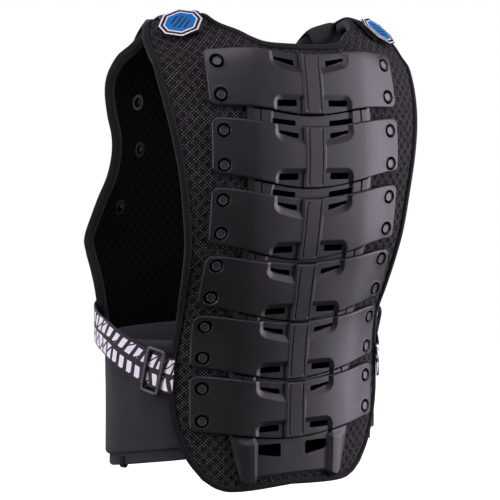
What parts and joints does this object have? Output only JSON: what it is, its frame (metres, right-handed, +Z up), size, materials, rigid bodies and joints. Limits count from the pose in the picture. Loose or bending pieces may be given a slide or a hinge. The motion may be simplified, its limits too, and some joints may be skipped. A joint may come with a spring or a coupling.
{
  "type": "roost deflector",
  "caption": "Sleeveless padded mesh body guard with riveted back plates over a spine strip, chest plate, shoulder tabs, side straps and a wide waist belt.",
  "frame": {"origin": "midway between the shoulders at the height where the tabs rest on them", "axes": "+X to the wearer's left, -Y to the wearer's front, +Z up as worn"},
  "size_m": [0.3465, 0.2744, 0.5108],
  "materials": {
    "padded_mesh": "open knitted mesh",
    "edge_binding": "smooth knitted tape",
    "moulded_plate": "satin moulded",
    "core_plastic": "satin moulded",
    "rivet_plastic": "semi-gloss",
    "printed_elastic": "woven elastic, white print",
    "tab_fabric": "matt woven",
    "badge_blue": "gloss with white outline",
    "slider_plastic": "moulded",
    "belt_neoprene": "matt neoprene"
  },
  "bodies": {
    "root": {"back_panel": "padded_mesh", "front_panel": "padded_mesh", "back_binding": "edge_binding", "front_binding": "edge_binding", "plate_1": "moulded_plate", "plate_2": "moulded_plate", "plate_3": "moulded_plate", "plate_4": "moulded_plate", "plate_5": "moulded_plate", "plate_6": "moulded_plate", "chest_plate": "moulded_plate", "spine_core": "core_plastic", "rivet_1_left_up": "rivet_plastic", "rivet_1_left_low": "rivet_plastic", "rivet_1_right_up": "rivet_plastic", "rivet_1_right_low": "rivet_plastic", "rivet_2_left_up": "rivet_plastic", "rivet_2_left_low": "rivet_plastic", "rivet_2_right_up": "rivet_plastic", "rivet_2_right_low": "rivet_plastic", "rivet_3_left_up": "rivet_plastic", "rivet_3_left_low": "rivet_plastic", "rivet_3_right_up": "rivet_plastic", "rivet_3_right_low": "rivet_plastic", "rivet_4_left_up": "rivet_plastic", "rivet_4_left_low": "rivet_plastic", "rivet_4_right_up": "rivet_plastic", "rivet_4_right_low": "rivet_plastic", "rivet_5_left_up": "rivet_plastic", "rivet_5_left_low": "rivet_plastic", "rivet_5_right_up": "rivet_plastic", "rivet_5_right_low": "rivet_plastic", "rivet_6_left_up": "rivet_plastic", "rivet_6_left_low": "rivet_plastic", "rivet_6_right_up": "rivet_plastic", "rivet_6_right_low": "rivet_plastic", "chest_rivet_1_left": "rivet_plastic", "chest_rivet_1_right": "rivet_plastic", "chest_rivet_2_left": "rivet_plastic", "chest_rivet_2_right": "rivet_plastic", "chest_rivet_3_left": "rivet_plastic", "chest_rivet_3_right": "rivet_plastic", "side_strap_left": "printed_elastic", "side_strap_right": "printed_elastic", "shoulder_strap_left": "tab_fabric", "shoulder_strap_right": "tab_fabric", "belt_loop": "tab_fabric", "shoulder_badge_left": "badge_blue", "shoulder_badge_right": "badge_blue", "strap_slider_left": "slider_plastic", "strap_slider_right": "slider_plastic", "waist_belt": "belt_neoprene", "belt_flap": "belt_neoprene"}
  },
  "joints": []
}
